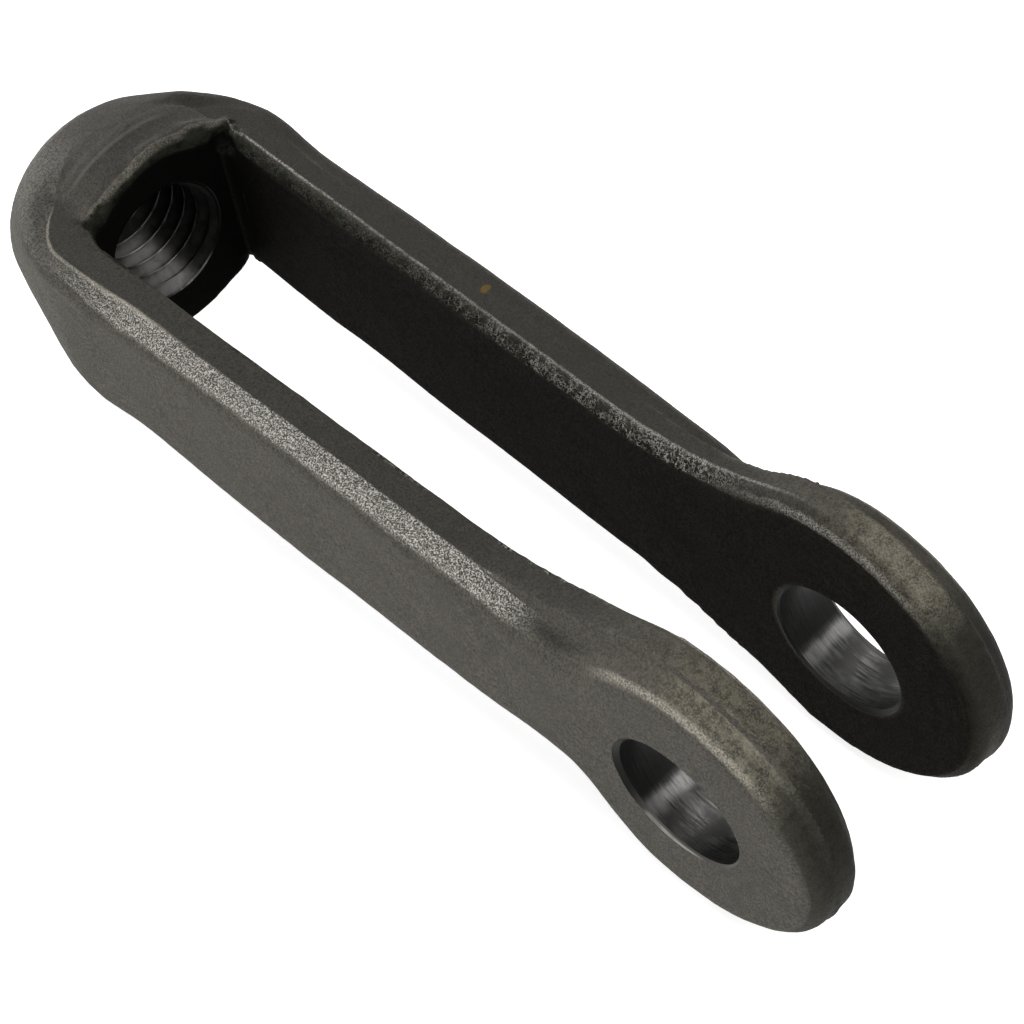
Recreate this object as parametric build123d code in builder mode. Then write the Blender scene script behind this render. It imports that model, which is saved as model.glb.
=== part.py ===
"""Clevis rod end: one forged steel yoke, drilled for the pin and tapped for the rod.

Axes: X runs along the rod, from the hub (-X) to the eye tips (+X).
      Y is the pin axis.  Z is up.  The origin is the middle of the pin axis.
Sizes in millimetres.

The forging was struck in two die halves. Outside the parting line the yoke follows
the outer profile, with a large edge rounding; inside it each arm is a plainer strap
that swells into a disc, so a faint step runs all the way round at the parting line.
"""
from build123d import *
import os

os.makedirs("parts", exist_ok=True)

# ---- holes --------------------------------------------------------------------
PIN_D = 12.8          # drilled pin hole, for a 1/2 in pin
PIN_BREAK = 0.3       # broken edge at each mouth of the pin hole
ROD_D = 12.7          # tapped hole, nominal size of a 1/2-13 thread
ROD_BREAK = 0.7       # countersink of the tapped hole at the nose

# ---- plan view ----------------------------------------------------------------
SLOT_HALF = 6.85      # pin axis centre to the eye's inner face
OUT_HALF = 12.3       # pin axis centre to the eye's outer face
SPLAY = 0.021         # each arm leans toward the eyes by this slope
WALL_X = -78.9        # closed end of the slot
SLOT_R = 1.5          # corner radius there
BEND_X = -90.0        # back of the U bend
BEND_R = 13.3         # its plan corner radius
TIP_X = 24.0          # past the eye tips, a trimming plane only

# ---- strap, side view ----------------------------------------------------------
STRAP_H = 9.1         # half height of the strap inside the parting line
NECK_H = 7.77         # outside it: half height that the bowed edge runs down to at the eye
BELLY_H = 9.29        # half height at mid arm
WAIST_H = 8.8         # half height in front of the hub
HUB_H = 9.2           # half height at the U bend
EDGE_R = 2.3          # outer edge rounding
PART_IN = 2.4         # parting line, in from the outer face
INNER_CUT = 1.2       # the lip round the slot is sheared off by this much, at 45 degrees
WAIST_X = -66.0       # lowest point of the strap, in front of the hub
BROW_X = -74.0        # where the hub's full height begins
BROW_R = 20.0         # softening of the profile there

# ---- eyes: the halves are discs of two sizes, set a little off the pin axis ------
EYE_R = 14.3          # outer half
EYE_X = 0.1
EYE_Z = -0.1
EYE_NECK = 4.5        # small neck radius of the outer half
PAD_R = 15.1          # inner half
PAD_X = -0.7
PAD_Z = 0.6
PAD_NECK = 40.0       # long neck radius of the inner half

# ---- hub ------------------------------------------------------------------------
HUB_R = 11.9          # half height of the boss
HUB_SET = 1.0         # its sides stand this far inside the arms' outer faces
LIP_R = 0.5           # rounding of its edge over the slot
HUB_FRONT = -83.0     # crease where the nose starts
DOME_X = -88.9        # the nose steepens here,
DOME_DOWN = 1.6       #   this much lower than the boss
NOSE_X = -91.2        # end face
NOSE_DOWN = 3.6       # its half height, below the boss's

DEEP = 60.0           # longer than the part is thick or tall
OVERLAP = 6.0         # the far half is built this far past the middle, then cut there


def out_y(x):
    """Outer face of the far arm at this x."""
    return OUT_HALF - SPLAY * x


def in_y(x):
    """Inner face of the far arm at this x."""
    return SLOT_HALF - SPLAY * x


def on_rim(spot):
    """Whether an edge with this middle lies round the outer face or round the bend."""
    round_bend = spot.X < BEND_X + BEND_R and -OVERLAP + 0.01 < spot.Y < out_y(BEND_X) - 1
    return round_bend or spot.Y > out_y(spot.X) - 0.1


def on_lip(spot):
    """Whether an edge with this middle lies round the slot."""
    return spot.X > WALL_X - 0.1 and -OVERLAP + 0.01 < spot.Y < in_y(spot.X) + 0.01


# ---- the far arm's own plane: its outer face, local x along the arm, local y up ----
ARM = Plane(origin=(0, OUT_HALF, 0), x_dir=(1, -SPLAY, 0), z_dir=(-SPLAY, -1, 0))
ACROSS = Axis((0, 0, 0), (SPLAY, 1, 0))

# ---- half plan of the U, and the same outline set in to the parting line -----------
with BuildPart() as u_block:
    with BuildSketch(Plane.XY.offset(-DEEP / 2)):
        with BuildLine():
            Polyline(
                (TIP_X, out_y(TIP_X)),
                (BEND_X, out_y(BEND_X)),
                (BEND_X, -OVERLAP),
                (TIP_X, -OVERLAP),
                close=True,
            )
        make_face()
    extrude(amount=DEEP)
    uprights = u_block.edges().filter_by(Axis.Z).group_by(Axis.X)[0]
    fillet(uprights.sort_by(Axis.Y)[-1], BEND_R)

with BuildPart() as core_block:
    with BuildSketch(Plane.XY.offset(-DEEP / 2)):
        with BuildLine():
            Polyline(
                (TIP_X, out_y(TIP_X) - PART_IN),
                (BEND_X + PART_IN, out_y(BEND_X) - PART_IN),
                (BEND_X + PART_IN, -OVERLAP),
                (TIP_X, -OVERLAP),
                close=True,
            )
        make_face()
    extrude(amount=DEEP)
    uprights = core_block.edges().filter_by(Axis.Z).group_by(Axis.X)[0]
    fillet(uprights.sort_by(Axis.Y)[-1], BEND_R - PART_IN)

# ---- slot between the arms, half of it ----------------------------------------------
with BuildPart() as slot:
    with BuildSketch(Plane.XY.offset(-DEEP / 2)):
        with BuildLine():
            Polyline(
                (TIP_X, in_y(TIP_X)),
                (WALL_X, in_y(WALL_X)),
                (WALL_X, -OVERLAP),
                (TIP_X, -OVERLAP),
                close=True,
            )
        make_face()
    extrude(amount=DEEP)
    uprights = slot.edges().filter_by(Axis.Z).group_by(Axis.X)[0]
    fillet(uprights.sort_by(Axis.Y)[-1], SLOT_R)

# ---- side profile outside the parting line: bowed strap, waist, small-necked eye ------
BACK_X = BEND_X - 5
BELLY_X = (WAIST_X + EYE_X) / 2
with BuildPart() as outer_side:
    with BuildSketch(ARM):
        with BuildLine():
            Line((BACK_X, 0), (BACK_X, HUB_H))
            Line((BACK_X, HUB_H), (BROW_X, HUB_H))
            bow = ThreePointArc((WAIST_X, WAIST_H), (BELLY_X, BELLY_H), (EYE_X, NECK_H))
            TangentArc((WAIST_X, WAIST_H), (BROW_X, HUB_H), tangent=(bow % 0) * -1)
            Line((EYE_X, NECK_H), (EYE_X, 0))
            mirror(about=Plane.XZ)
        make_face()
        with Locations((EYE_X, EYE_Z)):
            Circle(EYE_R)
    extrude(amount=DEEP / 2, both=True)
    corners = outer_side.edges().filter_by(ACROSS)
    necks = corners.filter_by(lambda e: BELLY_X < e.center().X < EYE_X)
    brows = corners.filter_by(lambda e: BEND_X < e.center().X < (BROW_X + WAIST_X) / 2)
    fillet(necks, EYE_NECK)
    fillet(brows, BROW_R)

with BuildPart() as outer_half:
    add(u_block.part)
    add(outer_side.part, mode=Mode.INTERSECT)
    # round the rim of the outer face and of the bend, but not the upright seams in them
    level = outer_half.edges().filter_by(Axis.Z, reverse=True)
    fillet(level.filter_by(lambda e: on_rim(e.center())), EDGE_R)
    add(core_block.part, mode=Mode.SUBTRACT)

# ---- side profile inside the parting line: plain strap, long necks ---------------------
with BuildPart() as inner_side:
    with BuildSketch(ARM):
        with Locations((BACK_X / 2, 0)):
            Rectangle(-BACK_X, 2 * STRAP_H)
        with Locations((PAD_X, PAD_Z)):
            Circle(PAD_R)
    extrude(amount=DEEP / 2, both=True)
    necks = inner_side.edges().filter_by(ACROSS)
    fillet(necks.filter_by(lambda e: BELLY_X < e.center().X < PAD_X), PAD_NECK)

with BuildPart() as inner_half:
    add(core_block.part)
    add(inner_side.part, mode=Mode.INTERSECT)
    add(slot.part, mode=Mode.SUBTRACT)
    # the lip: every edge round the slot but the uprights in its corners
    level = inner_half.edges().filter_by(Axis.Z, reverse=True)
    chamfer(level.filter_by(lambda e: on_lip(e.center())), INNER_CUT)

# ---- hub: an oval boss with a domed nose ----------------------------------------------
HUB_WIDE = (out_y(WALL_X) - HUB_SET) / HUB_R
DOME_R = HUB_R - DOME_DOWN
NOSE_R = HUB_R - NOSE_DOWN
with BuildPart() as hub:
    with BuildSketch(Plane.YZ.offset(WALL_X)):
        Ellipse(HUB_R * HUB_WIDE, HUB_R)
    extrude(amount=HUB_FRONT - WALL_X)
    with BuildSketch(Plane.YZ.offset(HUB_FRONT)):
        Ellipse(HUB_R * HUB_WIDE, HUB_R)
    with BuildSketch(Plane.YZ.offset(DOME_X)):
        Ellipse(DOME_R * HUB_WIDE, DOME_R)
    with BuildSketch(Plane.YZ.offset(NOSE_X)):
        Ellipse(NOSE_R * HUB_WIDE, NOSE_R)
    loft(ruled=True)
    chamfer(hub.faces().sort_by(Axis.X)[-1].edges(), LIP_R)

# ---- drilled pin hole, mouths broken, for one eye ---------------------------------------
PIN_R = PIN_D / 2
with BuildPart() as pin_drill:
    with BuildSketch(Plane.XY):
        with BuildLine():
            Polyline(
                (0, 0),
                (PIN_R + PIN_BREAK + 0.1, 0),
                (PIN_R + PIN_BREAK + 0.1, SLOT_HALF - 0.1),
                (PIN_R, SLOT_HALF + PIN_BREAK),
                (PIN_R, OUT_HALF - PIN_BREAK),
                (PIN_R + PIN_BREAK + 0.1, OUT_HALF + 0.1),
                (PIN_R + PIN_BREAK + 0.1, OUT_HALF + 5),
                (0, OUT_HALF + 5),
                close=True,
            )
        make_face()
    revolve(axis=Axis.Y)

# ---- tapped hole through the hub into the slot, at the thread's nominal size --------------
ROD_R = ROD_D / 2
with BuildPart() as rod_tap:
    with BuildSketch(Plane.XY):
        with BuildLine():
            Polyline(
                (NOSE_X - 2, 0),
                (NOSE_X - 2, ROD_R + ROD_BREAK + 2),
                (NOSE_X + ROD_BREAK, ROD_R),
                (WALL_X - PIN_BREAK, ROD_R),
                (WALL_X + 2, ROD_R + PIN_BREAK + 2),
                (WALL_X + 2, 0),
                close=True,
            )
        make_face()
    revolve(axis=Axis.X)

# ---- the yoke -----------------------------------------------------------------------------
with BuildPart() as far_half:
    add(outer_half.part)
    add(inner_half.part)
    add(pin_drill.part, mode=Mode.SUBTRACT)
    split(bisect_by=Plane.XZ, keep=Keep.BOTTOM)

with BuildPart() as clevis_yoke:
    add(far_half.part)
    mirror(far_half.part, about=Plane.XZ)
    add(hub.part)
    add(rod_tap.part, mode=Mode.SUBTRACT)

clevis_yoke.part.label = "clevis_yoke"
export_step(clevis_yoke.part, "parts/clevis_yoke.step")
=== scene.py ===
"""Clevis rod end: a drop-forged yoke under dark scale, with drilled eyes and a tapped hub.

The yoke is remade from its CAD node as one soft-edged forging, then its holes are cut crisp.
Lengths in this file are millimetres; meshes are scaled to metres as the last thing done to them.
X runs from the hub to the eye tips, Y is the pin axis, Z is up, origin mid pin axis.
"""

import math
from types import SimpleNamespace

import bmesh
import bpy
import numpy as np
from mathutils import Matrix, Vector, noise
from mathutils.bvhtree import BVHTree


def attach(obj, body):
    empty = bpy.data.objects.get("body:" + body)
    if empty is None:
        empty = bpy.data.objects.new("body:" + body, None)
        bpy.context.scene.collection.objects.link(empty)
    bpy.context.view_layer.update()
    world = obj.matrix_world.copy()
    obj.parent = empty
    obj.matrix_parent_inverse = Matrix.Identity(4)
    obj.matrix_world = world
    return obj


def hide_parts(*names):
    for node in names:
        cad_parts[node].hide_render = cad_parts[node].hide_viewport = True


# ---- sizes shared with the CAD part ------------------------------------------------
PIN_R = 6.4
PIN_BREAK = 0.3
ROD_R = 6.35
ROD_BREAK = 0.7
SLOT_HALF = 6.85
OUT_HALF = 12.3
SPLAY = 0.021
WALL_X = -78.9
NOSE_X = -91.2
PART_IN = 2.4
INNER_CUT = 1.2
INNER_TOP = 8.05      # where the sheared inner edge meets the strap's top
HUB_R = 11.9
HUB_WIDE = 12.957 / HUB_R   # the hub is this much wider than high
CORE_X = -87.6        # back of the U bend inside the parting line, and its corner radius
CORE_R = 10.9
HUB_FRONT = -83.0     # crease where the nose starts
FLOOR_Z = -14.7       # the part rests just above this level

# ---- the look of the forging --------------------------------------------------------
VOXEL = 0.385         # grid on which the soft skin is remade
BEND_START = -77.0    # the arms' outer edges begin to close round the hub here
RIDGE_X = -82.1       # the low ridge across the hub's top
CROWN_OFF = 0.8       # the crown of the hub is off centre by this much
TIGHT_HUB = 0.95      # how much tighter the outer rounding is than the CAD part's
TIGHT_ARM = 0.30
TIGHT_EYE = 0.50
MELT_ROUNDS = 70      # rounds of smoothing that the hub's cheeks are filled towards
MELT_MOST = 1.6       # and the most that the filling adds
PARTING_STEP = 0.15   # the outer half lies this much lower along the parting crease
FAR_EYE_OUT = 0.3     # the far eye is this much thicker
POCKET_X = -84.3      # where the flat beside the hub runs out into the dome
SWELL = 0.055         # slow unevenness of the forged skin
PITTING = 0.018       # finer unevenness

# ---- rays that see the white backdrop, while the object is lit by the lamps -----------
SEEN_BY = ("Is Camera Ray", "Is Glossy Ray", "Is Transmission Ray")
BACKDROP = 1.0
DIM_WORLD = 0.10      # what the world gives to diffuse rays

# ---- thread: 1/2-13 -------------------------------------------------------------------
PITCH = 1.954
MINOR_R = 5.42
ROOT_R = 6.33
SLEEVE_R = 6.46

# ---- camera ---------------------------------------------------------------------------
CAM_AT = (64.10, -70.58, 155.27)
CAM_RIGHT = (0.6949, 0.7108, -0.1092)
CAM_DOWN = (0.5279, -0.6073, -0.5938)
CAM_AHEAD = (-0.4884, 0.3549, -0.7972)
LENS = 78.97
SHIFT = (0.0127, -0.0008)


def out_y(x):
    """Outer face of the far arm at this x."""
    return OUT_HALF - SPLAY * x


def in_y(x):
    """Inner face of the far arm at this x."""
    return SLOT_HALF - SPLAY * x


def ease(value, low, high):
    """0 to 1 smoothly as value goes from low to high; works on numbers and arrays."""
    t = np.clip((value - low) / (high - low), 0.0, 1.0)
    return t * t * (3 - 2 * t)


# ======================================================================================
# meshes
# ======================================================================================
def new_object(name, mesh):
    obj = bpy.data.objects.new(name, mesh)
    bpy.context.scene.collection.objects.link(obj)
    return obj


def mesh_from(name, verts, faces):
    mesh = bpy.data.meshes.new(name)
    mesh.from_pydata(verts, [], faces)
    mesh.update()
    return mesh


def face_outward(mesh):
    """Turns every face's normal out of the body."""
    bm = bmesh.new()
    bm.from_mesh(mesh)
    bmesh.ops.recalc_face_normals(bm, faces=bm.faces)
    bm.to_mesh(mesh)
    bm.free()
    return mesh


def rings_to_mesh(name, rings):
    """A closed skin over a list of rings with equal counts; both ends are capped."""
    count = len(rings[0])
    verts = [v for ring in rings for v in ring]
    faces = []
    for r in range(len(rings) - 1):
        for i in range(count):
            j = (i + 1) % count
            a, b = r * count, (r + 1) * count
            faces.append((a + i, a + j, b + j, b + i))
    faces.append(tuple(reversed(range(count))))
    faces.append(tuple(range(len(verts) - count, len(verts))))
    return face_outward(mesh_from(name, verts, faces))


def turned(name, profile, axis, side=1.0, count=128):
    """A solid of revolution: profile is (radius, distance along the axis) pairs."""
    rings = []
    for radius, along in profile:
        ring = []
        for i in range(count):
            t = 2 * math.pi * i / count
            c, s = radius * math.cos(t), radius * math.sin(t)
            ring.append((c, side * along, s) if axis == "Y" else (along, c, s))
        rings.append(ring)
    return rings_to_mesh(name, rings)


def pin_plug(side):
    """Fills one pin hole flush with the eye's leaning faces."""
    count, radius = 64, PIN_R + PIN_BREAK + 0.15
    rings = []
    for face in (in_y, out_y):
        ring = []
        for i in range(count):
            t = 2 * math.pi * i / count
            x, z = radius * math.cos(t), radius * math.sin(t)
            ring.append((x, side * face(x), z))
        rings.append(ring)
    return rings_to_mesh("plug", rings)


def step_through(table, at):
    """Runs through a short table of (place, value) pairs, smoothly between them."""
    for (a, low), (b, high) in zip(table, table[1:]):
        if at <= b:
            return low + (high - low) * float(ease(at, a, b))
    return table[-1][1]


def flash_lip():
    """The ragged lip of sheared flash on the hub's top edge, standing into the slot.

    A wedge in section: a thin top edge, a rough face sloping down and forward, and an
    underside that runs back to the slot's end wall.
    """
    rise = ((-8.5, 0.10), (-7.4, 0.35), (-6.1, -0.05), (-3.4, -0.05), (0.5, 0.33), (2.8, 0.25),
            (3.9, 0.05), (4.3, 0.42), (5.1, 0.50), (8.1, 0.40), (9.4, -0.45))
    depth = ((-8.4, 0.5), (-7.0, 1.75), (-5.2, 1.15), (-3.4, 0.85), (1.0, 1.0), (3.9, 1.1),
             (4.5, 1.75), (6.3, 1.6), (7.1, 0.8), (9.4, 0.8))
    rings = []
    count = 110
    for k in range(count + 1):
        y = -8.6 + 17.9 * k / count
        slow = noise.noise(Vector((y * 0.55, 1.3, 0.0)))
        torn = noise.noise(Vector((y * 1.7, 5.3, 2.0)))
        ragged = noise.noise(Vector((y * 1.9, 9.1, 4.0)))
        crest = HUB_R * math.sqrt(1 - (y / (HUB_R * HUB_WIDE)) ** 2)
        top = crest + step_through(rise, y) + 0.08 * slow + 0.10 * torn
        drop = step_through(depth, y) * (1 + 0.20 * ragged)
        edge = WALL_X + 0.30 + 0.14 * torn
        front = edge + 0.75
        rings.append([
            (WALL_X - 1.3, y, crest - 0.15),
            (WALL_X - 0.35, y, max(top - 0.10, crest - 0.1)),
            (edge, y, top),
            (front, y, top - drop),
            (front - 0.15, y, top - drop - 0.45),
            (WALL_X - 0.4, y, top - drop - 1.6),
            (WALL_X - 1.3, y, crest - 2.2),
        ])
    return rings_to_mesh("lip", rings)


def corner_flash():
    """A small lump of flash left at the far corner of the slot's closed end."""
    rings = []
    for k in range(9):
        t = k / 8
        lump = 0.60 * (0.8 + 0.45 * noise.noise(Vector((k * 0.6, 3.0, 2.0))))
        ring = []
        for i in range(10):
            turn = 2 * math.pi * i / 10
            x = WALL_X + 0.45 + lump * math.cos(turn)
            ring.append((x, 8.2 + 1.2 * t, 9.35 - 0.55 * t + lump * math.sin(turn)))
        rings.append(ring)
    return rings_to_mesh("lip", rings)


def forge_skin(verts, normals):
    """Pushes each point in or out a little, as scale and hammering leave it."""
    moved = np.array(verts)
    for i, (p, n) in enumerate(zip(verts, normals)):
        slow = noise.noise(Vector(p) * 0.16 + Vector((3.1, 7.7, 1.9)))
        mid = noise.noise(Vector(p) * 0.45)
        fine = noise.noise(Vector(p) * 1.3 + Vector((9.0, 2.0, 4.0)))
        moved[i] += n * (SWELL * (slow + 0.5 * mid) + PITTING * fine + hub_ridge(p, slow))
    return moved


def hub_ridge(p, wander):
    """The low ridge left across the hub's top where the dies' two hollows meet."""
    x, y, z = p
    if z < 7.0 or x > -79.5:
        return 0.0
    off = x - (RIDGE_X + 0.35 * wander)
    ends = float(ease(y, -6.0, -4.0) * ease(y, 7.0, 4.0))
    return 0.07 * ends * math.exp(-((off / 0.33) ** 2))


def neighbour_mean(edges, count):
    """Gives a function that finds the mean of each point's neighbours."""
    a, b = edges[:, 0], edges[:, 1]
    degree = np.maximum(np.bincount(np.r_[a, b], minlength=count), 1)[:, None]

    def mean(verts):
        total = np.empty_like(verts)
        for axis in range(3):
            total[:, axis] = np.bincount(a, verts[b, axis], count)
            total[:, axis] += np.bincount(b, verts[a, axis], count)
        return total / degree

    return mean


def relax(verts, edges, rounds):
    """Evens out the voxel steps without shrinking the body."""
    mean = neighbour_mean(edges, len(verts))
    for step in (0.5, -0.52) * rounds:
        verts = verts + step * (mean(verts) - verts)
    return verts


def core_gap(x, y):
    """How far outside the inner half's plan outline a point lies; negative inside."""
    lean = out_y(x) - PART_IN
    centre_x, centre_y = CORE_X + CORE_R, out_y(CORE_X) - PART_IN - CORE_R
    round_gap = np.hypot(x - centre_x, np.abs(y) - centre_y) - CORE_R
    return np.where(x < centre_x, round_gap, np.abs(y) - lean)


def crisp_edges(verts, normals):
    """Tightens the outer rounding towards the hub and round the eyes, and squares the
    inner edge where no break was sheared: on the near strap's top, the far one's bottom."""
    x, y, z = verts.T
    nx, ny, nz = normals.T
    outward = ny * np.sign(y)
    bend = np.hypot(nx, ny) + np.abs(nz) - 1
    strap = np.abs(ny) + np.hypot(nx, nz) - 1
    corner = np.where(x < BEND_START, bend, strap)
    domed = corner * corner / 0.414
    corner = corner + (domed - corner) * ease(x, BEND_START, -79.5)
    upper = ease(z, -1.0, 2.0)
    amount = TIGHT_ARM * ease(x, -22.0, -30.0) * upper
    amount += (TIGHT_HUB - TIGHT_ARM) * ease(x, -69.0, -75.0) * (0.5 + 0.5 * upper)
    amount += TIGHT_EYE * ease(x, -10.0, -3.0) * np.where(y < 0, 1.0, 0.2)
    outer = ease(np.abs(y) - in_y(x), 1.8, 2.6) * ease(outward, 0.02, 0.15)
    outer = np.where(x < BEND_START, ease(core_gap(x, y), -0.3, 0.4), outer)
    outer = np.maximum(outer, ease(x, POCKET_X + 0.8, POCKET_X - 0.8))
    outer *= ease(x, NOSE_X + 0.1, NOSE_X + 1.2)
    push = amount * corner * outer

    cut = np.abs(y) - in_y(x)
    fill = np.clip(np.minimum(cut, INNER_CUT - cut), 0.0, None) / 0.7071
    broken = ease(-outward, 0.25, 0.5) * ease(-outward, 0.99, 0.93)
    squared = np.where(y < 0, 0.68 * ease(nz, 0.1, 0.3), 0.92 * ease(nz, -0.1, -0.3))
    squared = squared * ease(x, -5.0, -14.0) * (x > WALL_X)
    return verts + normals * (push + fill * broken * squared)[:, None]


def parting_depth(x):
    """How far the parting crease lies in from the outer face, measured along Y."""
    return PART_IN - 0.5 * ease(x, -66.0, -74.0) + 0.12 * np.maximum(BEND_START - x, 0.0) ** 2


def parting_crease(verts, normals):
    """The small step at the parting crease, which stays crisp right round to the dome."""
    x, y, z = verts.T
    steep = 0.24 * np.maximum(BEND_START - x, 0.0)
    gap = (np.abs(y) - out_y(x) + parting_depth(x)) / np.sqrt(1 + steep * steep)
    step = ease(gap, 0.0, 0.30) * ease(gap, 1.6, 0.5) * ease(np.abs(normals[:, 2]), 0.35, 0.65)
    step *= ease(x, -85.5, -83.5) * ease(x, -8.0, -16.0)
    return verts - normals * (PARTING_STEP * step)[:, None]


def settle(verts):
    """The forging is not quite true: small shifts of the dome, the necks and the eyes."""
    x, y, z = verts.T
    moved = verts.copy()
    moved[:, 1] -= 0.20 * ease(x, -77.0, -85.0)
    across = np.abs(y) + SPLAY * x
    neck = ease(x, -23.0, -17.0) * ease(x, -8.0, -13.0)
    moved[:, 2] += 0.34 * neck * ease(z, -3.0, -6.0) * (y < 0)
    shoulder = ease(x, -17.5, -13.5) * ease(x, -7.5, -10.5)
    moved[:, 2] -= 0.50 * shoulder * ease(z, 4.0, 7.0) * ease(across, 9.0, 10.2) * (y > 0)
    under = ease(z, -5.0, -7.5)
    waist = ease(x, -74.0, -68.0) * ease(x, -58.0, -63.0)
    belly = ease(x, -60.0, -54.0) * ease(x, -40.0, -46.0)
    corner = ease(x, -74.5, -77.0) * ease(x, -83.0, -80.0) * ease(across, 9.0, 10.5)
    moved[:, 2] += (0.26 * waist - 0.18 * belly + 0.34 * corner) * under * (y < 0)
    hub = ease(x, -77.5, WALL_X) * ease(x, -84.0, -81.0) * ease(np.abs(y), 7.5, 5.5)
    moved[:, 2] += 0.36 * hub * under
    moved[:, 1] += FAR_EYE_OUT * ease(x, -9.0, -3.0) * ease(across, 8.0, 10.5) * (y > 0)
    tip = ease(x, 1.0, 8.0)
    moved[:, 0] += 0.24 * tip * (y > 0)
    low = tip * ease(z, 3.0, -5.0) * (y < 0)
    grow = low * (0.26 - 0.32 * ease(across, OUT_HALF - PART_IN - 0.2, OUT_HALF - PART_IN + 0.3))
    reach = np.maximum(np.hypot(x, z), 1.0)
    moved[:, 0] += grow * x / reach
    moved[:, 2] += grow * z / reach
    return moved


def shift_crown(verts):
    """The hub's crown and the slot's end stand a little towards the far strap."""
    x, y, z = verts.T
    crown = ease(np.abs(z), 8.4, 9.6) * ease(x, -88.0, -85.0) * ease(x, -78.6, -79.2)
    mouth = ease(z, 5.8, 7.4) * ease(x, -75.0, -78.2) * ease(x, -79.6, -79.0)
    inside = ease(np.abs(y) - in_y(x), 2.6, 0.7)
    moved = verts.copy()
    moved[:, 1] += CROWN_OFF * np.maximum(crown, mouth) * inside
    return moved


def bridge_hollows(verts):
    """Carries the skin straight over the hollows between the bend and the hub's nose."""
    near = np.flatnonzero(verts[:, 0] < WALL_X - 0.7)
    bm = bmesh.new()
    for p in verts[near]:
        bm.verts.new(p)
    bmesh.ops.convex_hull(bm, input=bm.verts)
    hull = BVHTree.FromBMesh(bm)
    bm.free()
    x, y = verts[near, 0], verts[near, 1]
    outside = ease(core_gap(x, y), -0.05, 0.45) * ease(x, -79.9, -81.4)
    nose = ease(x, POCKET_X + 0.5, POCKET_X - 0.6)
    reach = np.maximum(outside, nose) * ease(x, NOSE_X + 0.05, NOSE_X + 0.5)
    moved = verts.copy()
    centre = Vector((WALL_X + 1.0, 0, 0))
    for i, share in zip(near, reach):
        if share <= 0:
            continue
        arm = Vector(verts[i]) - centre
        hit = hull.ray_cast(centre + arm * 0.99, arm.normalized(), 4.0)
        if hit[0] is not None:
            push = max(0.0, (hit[0] - centre).length - arm.length)
            moved[i] += np.array(arm.normalized()) * min(push, 2.0) * share
    return moved


def melt_cheeks(verts, normals, edges):
    """Fills the valley between the bend and the nose, and dulls the ridge beside it."""
    near = verts[:, 0] < -70.0
    index = np.full(len(verts), -1)
    index[near] = np.arange(near.sum())
    keep = near[edges[:, 0]] & near[edges[:, 1]]
    part = verts[near]
    mean = neighbour_mean(index[edges[keep]], len(part))
    soft = part.copy()
    for _ in range(MELT_ROUNDS):
        soft += 0.5 * (mean(soft) - soft)
    x, y, z = part.T
    outside = ease(core_gap(x, y), 0.0, 0.9)
    nose = ease(x, HUB_FRONT + 0.1, HUB_FRONT - 1.6)
    end = ease(x, NOSE_X + 0.1, NOSE_X + 1.5)
    reach = np.maximum(outside * ease(x, -75.0, -80.0), nose) * end
    normal = normals[near]
    push = ((soft - part) * normal).sum(1)
    push = np.where(push > 0, np.minimum(push, MELT_MOST), 0.38 * push) * reach
    moved = verts.copy()
    moved[near] = part + normal * push[:, None]
    return moved


def get(mesh, what):
    """The positions or normals of a mesh's points."""
    out = np.empty(len(mesh.vertices) * 3)
    mesh.vertices.foreach_get(what, out)
    return out.reshape(-1, 3)


def set_points(mesh, verts):
    """Moves a mesh's points, and hands them on."""
    mesh.vertices.foreach_set("co", verts.ravel())
    mesh.update()
    return verts


def applied(obj):
    """The object's mesh with its modifiers applied; the object then holds it."""
    graph = bpy.context.evaluated_depsgraph_get()
    mesh = bpy.data.meshes.new_from_object(obj.evaluated_get(graph))
    obj.modifiers.clear()
    obj.data = mesh
    return mesh


def drill(out):
    """The profile of a pin hole with both edges broken; out is the eye's outer face."""
    wide = PIN_R + PIN_BREAK + 0.1
    return [
        (wide, SLOT_HALF - 3),
        (wide, SLOT_HALF - 0.1),
        (PIN_R, SLOT_HALF + PIN_BREAK),
        (PIN_R, out - PIN_BREAK),
        (wide, out + 0.1),
        (wide, out + 3),
    ]


def soft_body(node):
    """The node's shape with its holes filled and the flash added, remade as one even skin."""
    bm = bmesh.new()
    cad = node.data.copy()
    cad.transform(Matrix.Scale(1000, 4))
    bm.from_mesh(cad)
    bmesh.ops.remove_doubles(bm, verts=bm.verts, dist=0.002)
    rod_plug = turned("plug", [(ROD_R + 0.75, NOSE_X), (ROD_R + 0.4, WALL_X)], "X", count=64)
    for extra in (pin_plug(1), pin_plug(-1), rod_plug, flash_lip(), corner_flash()):
        bm.from_mesh(extra)
    mesh = bpy.data.meshes.new("yoke")
    bm.to_mesh(mesh)
    bm.free()
    yoke = new_object("yoke", mesh)
    remesh = yoke.modifiers.new("remesh", "REMESH")
    remesh.mode = "VOXEL"
    remesh.voxel_size = VOXEL
    return yoke


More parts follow.
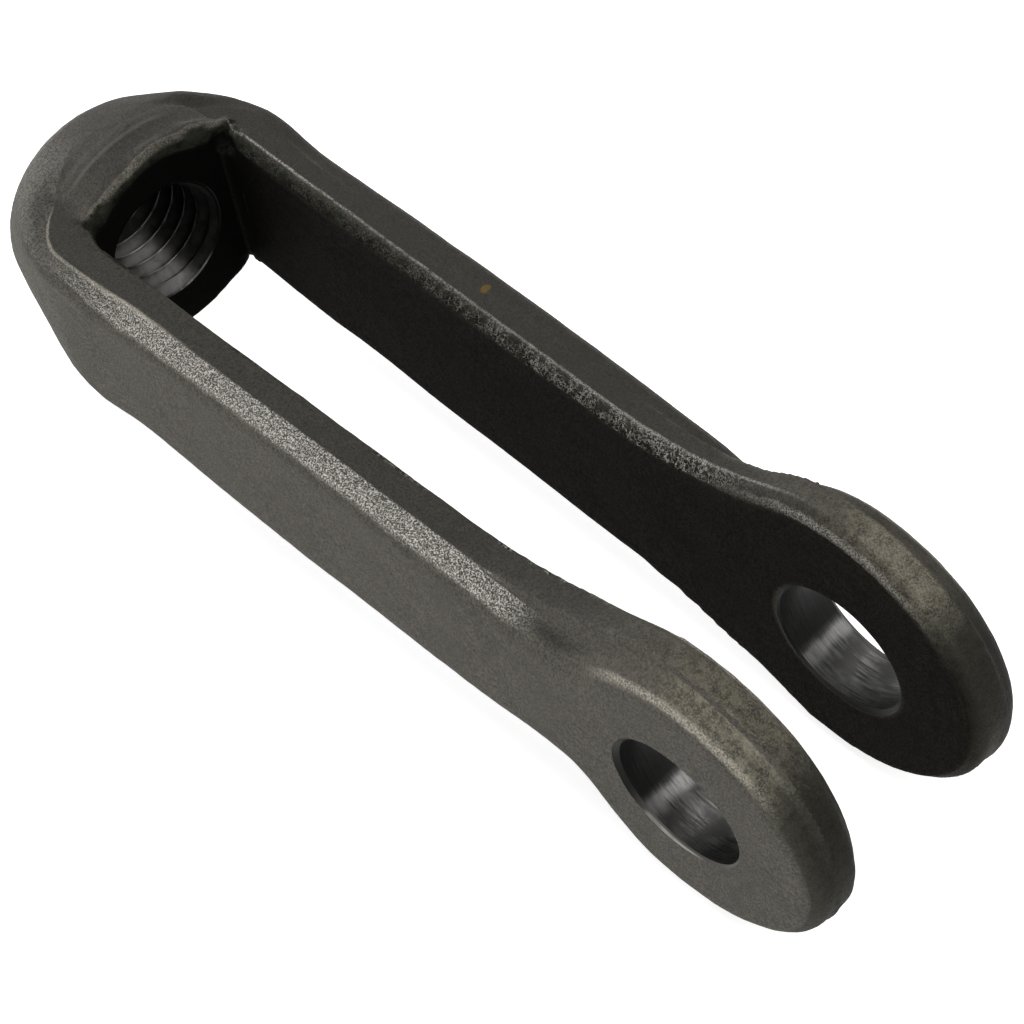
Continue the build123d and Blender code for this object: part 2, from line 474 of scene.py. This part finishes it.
def cut_holes(yoke):
    """Drills both eyes and bores the hub, with every mouth broken."""
    tap = [
        (ROD_R + ROD_BREAK + 2, NOSE_X - 2),
        (ROD_R, NOSE_X + ROD_BREAK),
        (ROD_R, WALL_X - PIN_BREAK),
        (ROD_R + PIN_BREAK + 2, WALL_X + 2),
    ]
    cutters = [
        new_object("cut", turned("cut", drill(OUT_HALF + FAR_EYE_OUT), "Y", 1.0)),
        new_object("cut", turned("cut", drill(OUT_HALF), "Y", -1.0)),
        new_object("cut", turned("cut", tap, "X")),
    ]
    for cutter in cutters:
        cut = yoke.modifiers.new("cut", "BOOLEAN")
        cut.operation = "DIFFERENCE"
        cut.solver = "EXACT"
        cut.object = cutter
    applied(yoke)
    for cutter in cutters:
        bpy.data.objects.remove(cutter)


def make_yoke(node):
    """The forging as one piece: node's shape, softened and roughened, holes cut last."""
    yoke = soft_body(node)
    mesh = applied(yoke)
    edges = np.empty(len(mesh.edges) * 2, dtype=np.int64)
    mesh.edges.foreach_get("vertices", edges)
    edges = edges.reshape(-1, 2)
    verts = set_points(mesh, relax(get(mesh, "co"), edges, 3))
    verts = set_points(mesh, crisp_edges(verts, get(mesh, "normal")))
    verts = set_points(mesh, bridge_hollows(shift_crown(verts)))
    verts = set_points(mesh, melt_cheeks(verts, get(mesh, "normal"), edges))
    verts = set_points(mesh, parting_crease(settle(verts), get(mesh, "normal")))
    set_points(mesh, forge_skin(verts, get(mesh, "normal")))
    cut_holes(yoke)
    return yoke


def in_hole(face):
    """Whether a face is the wall of a drilled or tapped hole: it looks at the hole's axis."""
    x, y, z = face.center
    nx, ny, nz = face.normal
    pin, rod = math.hypot(x, z), math.hypot(y, z)
    if x > WALL_X / 2:
        return pin < PIN_R + PIN_BREAK + 0.1 and -(x * nx + z * nz) / pin > 0.4
    return rod < ROD_R + ROD_BREAK + 0.1 and -(y * ny + z * nz) / max(rod, 0.1) > 0.4


def thread_radius(x, share):
    """The thread's radius at x and this share of a turn: a flat-topped 60 degree vee that
    opens into the hole's broken mouths."""
    phase = (x / PITCH - share) % 1.0
    vee = min(max((abs(phase - 0.5) * 2 - 0.14) / 0.74, 0.0), 1.0)
    mouth = max(ROD_R + ROD_BREAK - (x - NOSE_X), ROD_R + 0.25 - (WALL_X - x), 0)
    return min(max(MINOR_R + (ROOT_R - MINOR_R) * vee, mouth), SLEEVE_R - 0.02)


def make_thread():
    """The 1/2-13 thread in the hub, as a sleeve whose bore is one helical groove."""
    turns, rows_per_pitch = 96, 14
    rows = int(round((WALL_X - NOSE_X) / PITCH * rows_per_pitch))
    angles = [2 * math.pi * i / turns for i in range(turns)]
    rings = []
    for r in range(rows + 1):
        x = NOSE_X + 0.15 + (WALL_X - NOSE_X - 0.2) * r / rows
        radii = [thread_radius(x, i / turns) for i in range(turns)]
        rings.append([(x, q * math.cos(t), q * math.sin(t)) for q, t in zip(radii, angles)])
    for x in (WALL_X - 0.05, NOSE_X + 0.15):
        rings.append([(x, SLEEVE_R * math.cos(t), SLEEVE_R * math.sin(t)) for t in angles])
    verts = [v for ring in rings for v in ring]
    faces = []
    for r in range(len(rings)):
        a, b = r * turns, (r + 1) % len(rings) * turns
        for i in range(turns):
            j = (i + 1) % turns
            faces.append((a + i, a + j, b + j, b + i))
    return new_object("rod_thread", face_outward(mesh_from("rod_thread", verts, faces)))


def finish_mesh(obj, angle):
    """Scales to metres, and smooths all but the sharp edges."""
    obj.data.transform(Matrix.Scale(0.001, 4))
    obj.data.shade_smooth()
    obj.data.set_sharp_from_angle(angle=math.radians(angle))


# ======================================================================================
# materials
# ======================================================================================
class Graph:
    """A material's node tree, with short ways to add and join nodes."""

    def __init__(self, name):
        self.material = bpy.data.materials.new(name)
        self.material.use_nodes = True
        self.tree = self.material.node_tree
        self.tree.nodes.clear()

    def add(self, kind, inputs=None, **props):
        made = self.tree.nodes.new(kind)
        for key, value in props.items():
            setattr(made, key, value)
        for key, value in (inputs or {}).items():
            if isinstance(value, bpy.types.NodeSocket):
                self.tree.links.new(value, made.inputs[key])
            else:
                made.inputs[key].default_value = value
        return made

    def math(self, op, a, b=0.0):
        return self.add("ShaderNodeMath", {0: a, 1: b}, operation=op).outputs[0]

    def times(self, first, *others):
        for other in others:
            first = self.math("MULTIPLY", first, other)
        return first

    def most(self, first, *others):
        for other in others:
            first = self.math("MAXIMUM", first, other)
        return first

    def plus(self, a, b):
        return self.math("ADD", a, b)

    def minus(self, a, b):
        return self.math("SUBTRACT", a, b)

    def size(self, a):
        return self.math("ABSOLUTE", a)

    def reach(self, a, b):
        """The length of the two sides' diagonal."""
        return self.math("POWER", self.plus(self.times(a, a), self.times(b, b)), 0.5)

    def ease(self, value, low, high, to_low=0.0, to_high=1.0):
        """Runs smoothly from to_low to to_high as value goes from low to high."""
        inputs = {0: value, 1: low, 2: high, 3: to_low, 4: to_high}
        return self.add("ShaderNodeMapRange", inputs, interpolation_type="SMOOTHSTEP").outputs[0]

    def noise(self, where, scale, detail=2.0, rough=0.5):
        inputs = {"Vector": where, "Scale": scale, "Detail": detail, "Roughness": rough}
        return self.add("ShaderNodeTexNoise", inputs).outputs[0]

    def mix(self, amount, a, b):
        inputs = {0: amount, 6: a, 7: b}
        return self.add("ShaderNodeMix", inputs, data_type="RGBA").outputs[2]

    def blend(self, amount, a, b):
        return self.add("ShaderNodeMix", {0: amount, 2: a, 3: b}).outputs[0]

    def bump(self, height, distance, strength=1.0, normal=None):
        inputs = {"Height": height, "Distance": distance, "Strength": strength}
        if normal is not None:
            inputs["Normal"] = normal
        return self.add("ShaderNodeBump", inputs).outputs[0]

    def vector(self, op, inputs):
        return self.add("ShaderNodeVectorMath", inputs, operation=op)

    def place(self):
        """Object position in millimetres, whole and split."""
        where = self.add("ShaderNodeTexCoord").outputs["Object"]
        where = self.vector("SCALE", {0: where, 3: 1000.0}).outputs[0]
        parts = self.add("ShaderNodeSeparateXYZ", {0: where}).outputs
        return where, parts[0], parts[1], parts[2]

    def facing(self):
        normal = self.add("ShaderNodeNewGeometry").outputs["Normal"]
        parts = self.add("ShaderNodeSeparateXYZ", {0: normal}).outputs
        return parts[0], parts[1], parts[2]

    def close(self, **inputs):
        inputs = {name.replace("_", " "): value for name, value in inputs.items()}
        shader = self.add("ShaderNodeBsdfPrincipled", inputs)
        self.add("ShaderNodeOutputMaterial", {"Surface": shader.outputs[0]})
        return self.material


def grey(level, warm=1.0):
    """A linear colour of this lightness, leaning to brown as forged scale does."""
    return (level * (1 + 0.035 * warm), level, level * (1 - 0.07 * warm), 1.0)


# ---- forged scale: places on the yoke, each a mask of 0 to 1 --------------------------
def yoke_surface(g):
    """Where a point of the forging lies, how it faces, and the patterns that it shares."""
    s = SimpleNamespace()
    s.where, s.x, s.y, s.z = g.place()
    s.nx, s.ny, s.nz = g.facing()
    s.outward = g.times(s.ny, g.math("SIGN", s.y))
    s.across = g.plus(g.size(s.y), g.times(s.x, SPLAY))
    s.depth = g.minus(OUT_HALF, s.across)
    s.near = g.ease(s.y, 1.0, -1.0)
    s.far = g.ease(s.y, 0.0, 1.0)
    s.mottle = g.noise(s.where, 0.75, 4.0, 0.6)
    s.pits = g.noise(s.where, 1.9, 3.0, 0.7)
    s.grain = g.noise(s.where, 4.6, 3.0, 0.75)
    s.speck = g.noise(s.where, 6.5, 3.0, 0.85)
    s.patchy = g.noise(s.where, 0.9, 3.0, 0.7)
    s.wander = g.times(g.minus(g.noise(s.where, 0.5, 3.0), 0.5), 0.9)
    return s


def parting_places(g, s):
    """The outer edge's rounding from the parting crease down, and the crease itself."""
    reach = g.plus(g.ease(s.x, -81.0, -68.0, 0.40, 0.90), g.times(s.wander, 0.22))
    turned_out = g.minus(1.0, g.ease(g.math("DIVIDE", s.outward, reach), 0.74, 1.0))
    beyond = g.most(g.minus(BEND_START, s.x), 0.0)
    parting = g.ease(s.x, -66.0, -74.0, PART_IN, PART_IN - 0.5)
    parting = g.plus(parting, g.times(0.12, g.times(beyond, beyond)))
    inward = g.minus(g.plus(s.depth, g.times(s.wander, 0.2)), parting)
    s.band = g.times(g.ease(inward, 0.10, -0.12), turned_out, g.ease(s.x, -80.0, -73.0),
                     s.near, g.ease(s.x, -14.5, -20.0))
    s.crisp = g.times(g.ease(g.size(inward), 0.26, 0.06), g.ease(s.x, -57.0, -66.0),
                      g.ease(s.x, -83.6, -81.0), s.near, g.ease(s.nz, 0.2, 0.5))
    s.cheek = g.times(g.ease(inward, 0.05, -0.45), g.ease(s.x, -72.0, -80.0),
                      g.ease(s.y, -1.0, -6.0))


def sheared_places(g, s):
    """The straps' sheared inner edges, the eyes' inner edges and the lip over the slot."""
    inner_edge = g.times(g.ease(s.outward, -0.22, -0.42), g.ease(s.outward, -0.985, -0.93))
    at_eye = g.ease(s.x, -17.0, -8.0)
    s.strap_edge = g.times(inner_edge, g.minus(1.0, at_eye), g.ease(g.size(s.nz), 0.25, 0.45),
                           g.ease(s.across, SLOT_HALF + 2.2, SLOT_HALF + 1.6))
    lip = g.times(g.ease(s.x, WALL_X + 0.05, WALL_X + 0.35), g.ease(s.nx, 0.10, 0.32),
                  g.ease(s.x, WALL_X + 2.4, WALL_X + 1.8), g.ease(s.z, 6.0, 6.6))
    s.lip_top = g.times(g.ease(s.x, WALL_X + 0.02, WALL_X + 0.22), g.ease(s.nz, 0.40, 0.70),
                        g.ease(s.x, WALL_X + 1.2, WALL_X + 0.7), g.ease(s.z, 9.2, 9.9))
    s.sheared = g.most(s.strap_edge, lip)
    face = g.plus(s.across, g.times(s.wander, 0.5))
    face = g.ease(face, SLOT_HALF + 0.55, SLOT_HALF + 0.30)
    s.eye_edge = g.times(inner_edge, at_eye, face, g.ease(s.z, 2.0, 6.0), g.ease(s.x, 10.0, 3.0),
                         g.ease(g.plus(s.z, s.x), 4.0, 11.0, 0.45, 1.0))


def eye_places(g, s):
    """The eyes' rims, and the line where the outer face turns over into the rim."""
    s.rim = g.times(g.ease(g.reach(s.x, s.z), 12.4, 13.6), g.ease(s.x, -13.0, -3.0),
                    g.ease(g.size(s.outward), 0.93, 0.84))
    s.turn = g.times(g.ease(g.size(g.minus(s.outward, 0.80)), 0.20, 0.06),
                     g.ease(s.x, -10.0, -5.0), g.ease(s.nz, 0.15, 0.55),
                     g.ease(s.depth, 1.3, 0.9), g.ease(s.x, 11.0, 5.0))


def slot_places(g, s):
    """Flat tops, the slot's sides and its end wall."""
    s.top = g.times(g.ease(g.size(s.nz), 0.75, 0.95), g.ease(s.rim, 0.8, 0.0),
                    g.minus(1.0, s.cheek))
    s.inside = g.ease(s.outward, -0.6, -0.9)
    s.wall = g.times(g.ease(s.nx, 0.5, 0.8), g.ease(s.x, WALL_X + 1.6, WALL_X + 0.8),
                     g.ease(g.size(s.across), SLOT_HALF + 0.8, SLOT_HALF + 0.2))


# ---- forged scale: colours --------------------------------------------------------------
def plain_scale(g, s):
    """Dark oxide, mottled and pitted, with painted shade on flat tops, near-black painted shade
    inside the slot and on its end wall, and painted light on the hub's cheeks.
    """
    cloud = g.noise(s.where, 0.13, 3.0, 0.55)
    base = g.mix(g.ease(cloud, 0.32, 0.68), grey(0.070, 1.9), grey(0.088, 1.9))
    base = g.mix(g.ease(s.mottle, 0.30, 0.75), base, grey(0.100, 2.3))
    # painted shade: flat tops darker, more so towards the far strap
    base = g.mix(g.times(s.top, g.ease(s.y, 5.0, 8.0, 0.50, 0.72)), base, grey(0.046, 1.6))
    # painted light: the hub's cheeks outside the parting crease are lighter, most where they
    # face up
    base = g.mix(g.times(s.cheek, g.ease(s.nz, 0.45, 0.80, 0.0, 0.70)), base, grey(0.145, 1.6))
    base = g.mix(g.ease(s.grain, 0.60, 0.38, 0.0, 0.85), base, grey(0.040, 1.6))
    dark_pit = g.times(g.ease(s.pits, 0.40, 0.30), g.ease(s.top, 0.0, 1.0, 0.35, 0.8))
    base = g.mix(dark_pit, base, grey(0.030, 2.4))
    warm_fleck = g.times(g.ease(s.pits, 0.66, 0.74), 0.30)
    base = g.mix(warm_fleck, base, (0.130, 0.112, 0.082, 1.0))
    # painted shade: the slot's inner faces darken towards its end, and the end wall is near
    # black
    shade = g.times(s.inside, g.ease(s.x, WALL_X + 14.0, WALL_X + 1.0, 0.0, 0.85))
    base = g.mix(shade, base, grey(0.012))
    return g.mix(s.wall, base, grey(0.007))


def rims_wear_and_painted_light(g, s, base):
    """The eyes' rims: worn through in patches, greenish brown, with painted shade at the tips
    and on the far rim's back, and patchy painted light on the far rim.
    """
    rim_colour_and_painted_light = g.mix(g.ease(s.patchy, 0.36, 0.66), grey(0.062, 1.8), (0.170, 0.160, 0.125, 1.0))
    rim_colour_and_painted_light = g.mix(g.times(g.ease(s.speck, 0.46, 0.60), 0.75), rim_colour_and_painted_light, (0.27, 0.245, 0.180, 1.0))
    rim_colour_and_painted_light = g.mix(g.ease(s.pits, 0.52, 0.36, 0.0, 0.6), rim_colour_and_painted_light, (0.048, 0.049, 0.037, 1.0))
    # painted light: the far rim is lighter in patches
    far_rim_painted_light = g.times(g.ease(s.speck, 0.42, 0.60, 0.15, 0.90),
                       g.ease(s.patchy, 0.30, 0.55, 0.3, 1.0), s.far, g.ease(s.x, -3.0, 4.0))
    rim_colour_and_painted_light = g.mix(far_rim_painted_light, rim_colour_and_painted_light, (0.31, 0.285, 0.22, 1.0))
    # painted shade: the rims darken towards their tips
    tip = g.plus(s.x, g.times(s.wander, 3.0))
    rim_colour_and_painted_light = g.mix(g.ease(tip, 6.5, 11.5, 0.0, 0.88), rim_colour_and_painted_light, (0.022, 0.022, 0.018, 1.0))
    # painted shade: the far eye's outer rounding, outside the parting crease, is darker
    back_rim = g.times(s.far, g.ease(s.depth, PART_IN + 0.2, PART_IN - 0.3))
    rim_colour_and_painted_light = g.mix(g.times(back_rim, 0.75), rim_colour_and_painted_light, grey(0.028, 1.6))
    start = g.plus(s.x, g.times(s.wander, 4.0))
    return g.mix(g.times(s.rim, g.ease(start, -5.0, 2.0, 0.15, 0.95)), base, rim_colour_and_painted_light)


def sheared_break(g, s, base):
    """Sheared faces: a dark greenish break, paler up the far strap's edge; the darkness is
    partly the break's own colour and partly painted shade.
    """
    # dark partly as the break's own colour, partly as painted shade where the lamps don't reach
    dark, light = (0.016, 0.017, 0.013, 1.0), (0.046, 0.046, 0.036, 1.0)
    torn = g.mix(g.ease(s.mottle, 0.35, 0.65), dark, light)
    pale = g.times(g.ease(s.across, SLOT_HALF + 0.35, INNER_TOP), s.strap_edge,
                   g.ease(s.y, -1.0, 1.0), g.ease(s.speck, 0.36, 0.58, 0.25, 1.0))
    torn = g.mix(pale, torn, (0.092, 0.090, 0.075, 1.0))
    return g.mix(g.times(s.sheared, 0.92), base, torn)


def painted_glints(g, s):
    """A web of painted glints in the sheared faces, and painted glints along the eyes' inner
    edges.
    """
    web = g.size(g.minus(g.noise(s.where, 2.3, 2.0, 0.7), 0.5))
    glints = g.times(g.ease(web, 0.050, 0.012), g.ease(g.noise(s.where, 1.1, 2.0), 0.30, 0.55),
                    s.strap_edge, g.ease(s.x, -62.0, -20.0, 0.14, 1.0))
    return g.most(glints, g.times(s.eye_edge, g.ease(s.speck, 0.44, 0.58)))


def painted_strap_highlight(g, s):
    """A thin painted highlight along the top of the far strap's inner edge."""
    off = g.size(g.minus(g.minus(s.across, INNER_TOP), g.times(s.wander, 0.2)))
    return g.times(g.ease(off, 0.17, 0.04), g.ease(s.z, 7.2, 8.4), s.far,
                   g.ease(s.x, -79.0, -77.0), g.ease(s.x, -2.0, -12.0),
                   g.ease(s.speck, 0.40, 0.56), g.ease(s.patchy, 0.30, 0.48),
                   g.ease(s.x, -62.0, -68.0, 0.60, 1.0))


def painted_highlight_lines(g, s):
    """Thin painted highlight lines: the eye's turn, the top of the lip and the parting crease.
    """
    line = g.times(s.turn, g.ease(s.speck, 0.42, 0.60, 0.10, 0.85))
    line = g.most(line, g.times(s.lip_top, g.ease(s.speck, 0.40, 0.62, 0.1, 0.45)))
    return g.most(line, g.times(s.crisp, g.ease(s.speck, 0.36, 0.60, 0.15, 0.8)))


def rust_spots(g, s, base):
    """Two small spots of rust: (middle, half lengths along X and Y, colour)."""
    for middle, half, tone in (
        ((-43.8, 10.8, 9.1), (0.38, 0.52), (0.15, 0.098, 0.036, 1.0)),
        ((7.8, -12.3, 6.2), (0.16, 0.12), (0.26, 0.12, 0.035, 1.0)),
    ):
        away = g.vector("SUBTRACT", {0: s.where, 1: middle}).outputs[0]
        away = g.vector("MULTIPLY", {0: away, 1: (1 / half[0], 1 / half[1], 0.5)}).outputs[0]
        away = g.vector("LENGTH", {0: away}).outputs[1]
        away = g.plus(away, g.times(g.minus(s.grain, 0.5), 1.6))
        base = g.mix(g.ease(away, 1.25, 0.70), base, tone)
    return base


def forged_scale():
    """Dark oxide over coarse forged steel, with painted highlights and glints where edges stand
    out.
    """
    g = Graph("forged_scale")
    s = yoke_surface(g)
    parting_places(g, s)
    sheared_places(g, s)
    eye_places(g, s)
    slot_places(g, s)

    base = sheared_break(g, s, rims_wear_and_painted_light(g, s, plain_scale(g, s)))
    glints = painted_glints(g, s)
    # painted glints on the near strap's outer rounding, below the parting crease
    bright = g.times(s.band, g.ease(s.speck, 0.46, 0.62), g.ease(s.x, -80.0, -62.0, 0.35, 1.0))
    # painted highlight along the low ridge across the hub's top
    ridge = g.size(g.plus(g.minus(s.x, RIDGE_X), g.times(s.wander, 0.4)))
    ridge = g.times(g.ease(ridge, 0.40, 0.05), g.ease(s.z, 9.6, 10.6), g.ease(s.y, 7.0, 4.0))
    base = g.mix(g.times(ridge, 0.35), base, grey(0.16, 1.8))
    base = g.mix(g.times(bright, 0.90), base, grey(0.66, 1.2))
    # painted highlight lines along the eye's turn, the lip's top and the parting crease
    base = g.mix(g.times(painted_highlight_lines(g, s), 0.85), base, grey(0.44, 2.2))
    # painted glints in the breaks, and the painted highlight along the far strap's edge
    base = g.mix(g.times(g.most(glints, painted_strap_highlight(g, s)), 0.9), base, grey(0.50, 1.4))
    base = rust_spots(g, s, base)

    bright = g.most(bright, g.times(glints, 0.5))
    rough = g.blend(g.ease(s.grain, 0.3, 0.7), 0.68, 0.52)
    rough = g.blend(bright, rough, 0.38)
    rough = g.blend(g.times(s.sheared, 0.6), rough, 0.80)
    metal = g.blend(bright, 0.02, 0.30)
    shine = g.blend(g.most(s.inside, s.wall, s.sheared), 0.03, 0.004)
    bump = g.bump(s.mottle, 0.00016, 0.35)
    bump = g.bump(s.grain, 0.00007, 0.65, bump)
    bump = g.bump(s.pits, 0.00012, 0.5, bump)
    bump = g.bump(g.times(g.noise(s.where, 1.8, 4.0, 0.7), s.sheared), 0.0006, 0.6, bump)
    return g.close(Base_Color=base, Metallic=metal, Roughness=rough, Specular_IOR_Level=shine,
                   Normal=bump)


# ---- drilled and tapped holes -----------------------------------------------------------
def machined_wall():
    """Bright drilled steel: tool marks run round the hole."""
    g = Graph("machined_wall")
    where, x, y, z = g.place()
    ny = g.facing()[1]
    drawn_out = {0: g.times(x, 0.25), 1: g.times(y, 3.2), 2: g.times(z, 0.25)}
    marks = g.noise(g.add("ShaderNodeCombineXYZ", drawn_out).outputs[0], 1.6, 4.0, 0.65)
    patch = g.noise(where, 0.5, 2.0)
    base = g.mix(g.ease(marks, 0.35, 0.65), grey(0.032, 0.4), grey(0.088, 0.4))
    base = g.mix(g.ease(patch, 0.45, 0.65), base, grey(0.045, 0.5))
    # a painted highlight: a narrow bright stripe low on the hub side; the rest of the hub side
    # is painted shade, and duller
    bore_painted_highlight = g.size(g.plus(g.plus(z, 5.38), g.times(g.minus(patch, 0.5), 0.8)))
    bore_painted_highlight = g.times(g.ease(bore_painted_highlight, 0.60, 0.12), g.ease(x, -1.5, -2.8))
    base = g.mix(g.times(bore_painted_highlight, g.ease(marks, 0.30, 0.60, 0.5, 1.0)), base, grey(0.17, 0.5))
    bore_painted_shade = g.times(g.ease(x, -2.8, -4.0), g.ease(z, -5.2, -4.5))
    base = g.mix(g.times(bore_painted_shade, 0.92), base, grey(0.022, 0.5))
    # the broken edges, painted lighter on the near side and darker on the hub side as painted
    # light and shade, with a bright burr along the bottom of the near hole's outer one
    broken = g.ease(g.size(ny), 0.35, 0.55)
    lit = g.mix(g.ease(y, 1.0, -1.0), grey(0.025), grey(0.080))
    base = g.mix(broken, base, g.mix(g.ease(x, -5.6, -3.0), grey(0.012), lit))
    burr = g.times(g.ease(g.reach(x, z), PIN_R + 0.10, PIN_R + 0.20), g.ease(z, -5.3, -6.0),
                   g.ease(y, 1.0, -1.0), g.ease(x, 3.0, 1.0), broken,
                   g.ease(patch, 0.30, 0.55, 0.5, 1.0))
    base = g.mix(burr, base, grey(0.34))
    rough = g.blend(g.ease(marks, 0.3, 0.7), 0.42, 0.28)
    dull = g.most(broken, g.times(bore_painted_shade, 0.85))
    bump = g.bump(marks, 0.00004, 0.6)
    return g.close(Base_Color=base, Metallic=g.minus(1.0, dull), Roughness=rough,
                   Specular_IOR_Level=g.blend(dull, 0.5, 0.05), Normal=bump)


def cut_thread():
    """Tapped steel, darker than the pin holes, with painted light low on the near side and
    painted shade over the upper half.
    """
    g = Graph("cut_thread")
    where, x, y, z = g.place()
    stain = g.noise(where, 0.7, 3.0)
    base = g.mix(g.ease(stain, 0.35, 0.65), grey(0.012), grey(0.024, 0.5))
    # painted light: a bright patch low on the near side, towards the slot's end
    lit = g.times(g.ease(z, -4.3, -5.8), g.ease(y, 2.8, 0.2), g.ease(x, -88.2, -86.0),
                  g.ease(stain, 0.30, 0.60, 0.6, 1.0))
    base = g.mix(lit, base, grey(0.230, 0.5))
    # painted shade: the upper half is nearly black
    base = g.mix(g.ease(z, -3.5, 0.0), base, grey(0.005))
    bump = g.bump(g.noise(where, 5.0, 2.0), 0.00003, 0.5)
    return g.close(Base_Color=base, Metallic=0.45, Roughness=0.55, Specular_IOR_Level=0.02,
                   Normal=bump)


def floor_sheet():
    """Pale sweep: lit paper that burns out to white but keeps a faint shadow."""
    g = Graph("floor_sheet")
    where = g.place()[0]
    path = g.add("ShaderNodeLightPath").outputs
    seen = g.most(*(path[kind] for kind in SEEN_BY))
    fibre = g.noise(where, 0.8, 2.0)
    pale = g.mix(g.ease(fibre, 0.3, 0.7), (0.80, 0.80, 0.80, 1), (0.84, 0.84, 0.84, 1))
    tone = g.mix(seen, (0.04, 0.04, 0.04, 1), pale)
    return g.close(Base_Color=tone, Roughness=0.9, Specular_IOR_Level=0.0,
                   Emission_Color=(1, 1, 1, 1), Emission_Strength=g.times(seen, 0.85))


# ======================================================================================
# stage
# ======================================================================================
def make_camera():
    """A long lens looking down along the yoke from the near eye's side."""
    data = bpy.data.cameras.new("camera")
    data.sensor_width = 36.0
    data.lens = LENS
    data.shift_x, data.shift_y = SHIFT
    data.clip_start = 0.01
    camera = bpy.data.objects.new("camera", data)
    right, down, ahead = Vector(CAM_RIGHT), Vector(CAM_DOWN), Vector(CAM_AHEAD)
    pose = Matrix((right, -down, -ahead)).transposed().to_4x4()
    pose.translation = Vector(CAM_AT) * 0.001
    camera.matrix_world = pose
    bpy.context.scene.collection.objects.link(camera)
    bpy.context.scene.camera = camera


def soft_light(name, toward, distance, size, power):
    """A square softbox standing in direction toward from the part's middle, facing it."""
    data = bpy.data.lights.new(name, "AREA")
    data.shape = "RECTANGLE"
    data.size, data.size_y = size
    data.energy = power
    light = bpy.data.objects.new(name, data)
    middle = Vector((-0.034, 0.0, 0.0))
    spot = Vector(toward).normalized()
    light.location = middle + spot * distance
    light.rotation_euler = spot.to_track_quat("Z", "Y").to_euler()
    bpy.context.scene.collection.objects.link(light)


def make_floor():
    """A wide white sheet just under the part."""
    size = 1.5
    corners = [(-size, -size, 0), (size, -size, 0), (size, size, 0), (-size, size, 0)]
    floor = new_object("floor", mesh_from("floor", corners, [(0, 1, 2, 3)]))
    floor.location = (0, 0, FLOOR_Z * 0.001)
    floor.data.materials.append(floor_sheet())


def make_world():
    """White behind the object and in what it mirrors, dim as a light on it."""
    world = bpy.data.worlds.new("studio")
    world.use_nodes = True
    tree = world.node_tree
    tree.nodes.clear()
    path = tree.nodes.new("ShaderNodeLightPath")
    seen = path.outputs[SEEN_BY[0]]
    for kind in SEEN_BY[1:]:
        either = tree.nodes.new("ShaderNodeMath")
        either.operation = "MAXIMUM"
        tree.links.new(seen, either.inputs[0])
        tree.links.new(path.outputs[kind], either.inputs[1])
        seen = either.outputs[0]
    strength = tree.nodes.new("ShaderNodeMix")
    strength.data_type = "FLOAT"
    tree.links.new(seen, strength.inputs[0])
    strength.inputs[2].default_value = DIM_WORLD
    strength.inputs[3].default_value = BACKDROP
    back = tree.nodes.new("ShaderNodeBackground")
    back.inputs["Color"].default_value = (1, 1, 1, 1)
    tree.links.new(strength.outputs[0], back.inputs["Strength"])
    out = tree.nodes.new("ShaderNodeOutputWorld")
    tree.links.new(back.outputs[0], out.inputs[0])
    bpy.context.scene.world = world


def make_lights():
    """A narrow key along the pin axis, with fill from the hub, above, the front and behind."""
    soft_light("key", (0.03, -1.0, 0.010), 1.20, (0.12, 0.05), 12.0)
    soft_light("hub_side", (-1.0, 0.05, 0.16), 0.45, (0.20, 0.16), 1.28)
    soft_light("top", (-0.20, 0.1, 1.0), 0.45, (0.32, 0.32), 0.94)
    soft_light("front", (0.75, 0.1, 0.75), 0.45, (0.20, 0.20), 0.46)
    soft_light("far_side", (0.1, 1.0, 0.1), 0.45, (0.20, 0.16), 0.16)


# ======================================================================================
# the scene
# ======================================================================================
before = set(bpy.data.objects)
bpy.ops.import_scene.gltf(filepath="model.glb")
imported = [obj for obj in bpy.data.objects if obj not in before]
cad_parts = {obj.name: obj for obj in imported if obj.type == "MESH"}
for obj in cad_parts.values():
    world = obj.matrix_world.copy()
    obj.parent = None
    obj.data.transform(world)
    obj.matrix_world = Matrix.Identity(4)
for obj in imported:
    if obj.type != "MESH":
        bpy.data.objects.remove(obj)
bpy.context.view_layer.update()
bpy.context.scene.view_settings.view_transform = "Standard"
make_camera()
make_floor()
make_world()
make_lights()

yoke = make_yoke(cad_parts["clevis_yoke"])
holes = [in_hole(face) for face in yoke.data.polygons]
finish_mesh(yoke, 32)
yoke.data.materials.clear()
yoke.data.materials.append(forged_scale())
yoke.data.materials.append(machined_wall())
yoke.data.polygons.foreach_set("material_index", [int(h) for h in holes])
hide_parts("clevis_yoke")
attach(yoke, "root")

thread = make_thread()
finish_mesh(thread, 40)
thread.data.materials.append(cut_thread())
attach(thread, "root")
